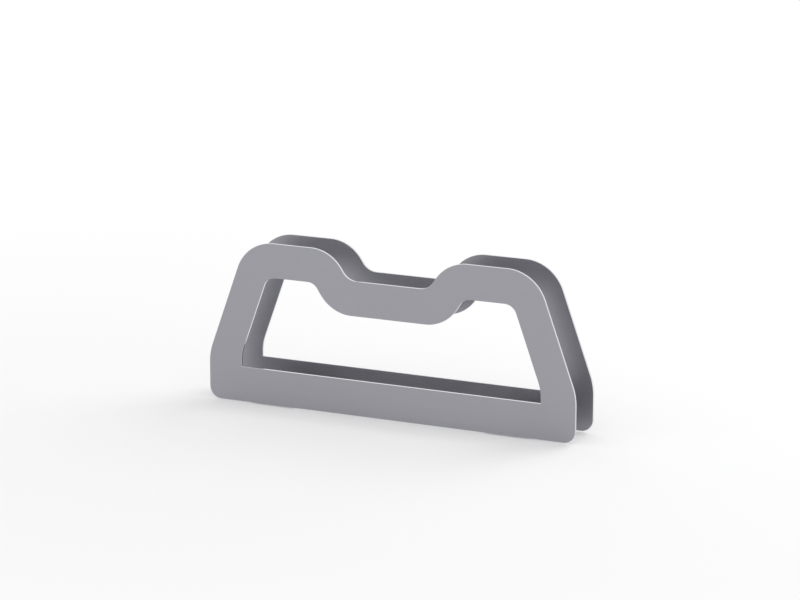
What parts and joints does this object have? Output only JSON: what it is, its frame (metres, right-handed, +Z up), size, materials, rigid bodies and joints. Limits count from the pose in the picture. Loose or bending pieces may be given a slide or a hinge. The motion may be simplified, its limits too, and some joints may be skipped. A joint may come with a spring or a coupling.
{
  "type": "bike rack",
  "caption": "Low bicycle rack: two parallel cut steel plates, each with a dipped top edge and a window, hold a wheel upright between them.",
  "frame": {"origin": "middle of the footprint, on the floor", "axes": "+X along the rack, +Y from the front plate to the rear plate, +Z up"},
  "size_m": [0.7, 0.084, 0.294],
  "materials": {
    "plate_steel": "satin silver-grey metal with bright cut edges",
    "bracket_steel": "hot-dip galvanised, dull grey with faint crystals",
    "fastener_steel": "turned stainless steel"
  },
  "bodies": {
    "root": {"front_plate": "plate_steel", "rear_plate": "plate_steel", "left_floor_bracket": "bracket_steel", "right_floor_bracket": "bracket_steel", "weld_stud_front_1": "fastener_steel", "weld_stud_front_2": "fastener_steel", "weld_stud_front_3": "fastener_steel", "weld_stud_front_4": "fastener_steel", "weld_stud_rear_1": "fastener_steel", "weld_stud_rear_2": "fastener_steel", "weld_stud_rear_3": "fastener_steel", "weld_stud_rear_4": "fastener_steel", "washer_front_1": "fastener_steel", "washer_front_2": "fastener_steel", "washer_front_3": "fastener_steel", "washer_front_4": "fastener_steel", "washer_rear_1": "fastener_steel", "washer_rear_2": "fastener_steel", "washer_rear_3": "fastener_steel", "washer_rear_4": "fastener_steel", "nut_front_1": "fastener_steel", "nut_front_2": "fastener_steel", "nut_front_3": "fastener_steel", "nut_front_4": "fastener_steel", "nut_rear_1": "fastener_steel", "nut_rear_2": "fastener_steel", "nut_rear_3": "fastener_steel", "nut_rear_4": "fastener_steel"}
  },
  "joints": []
}
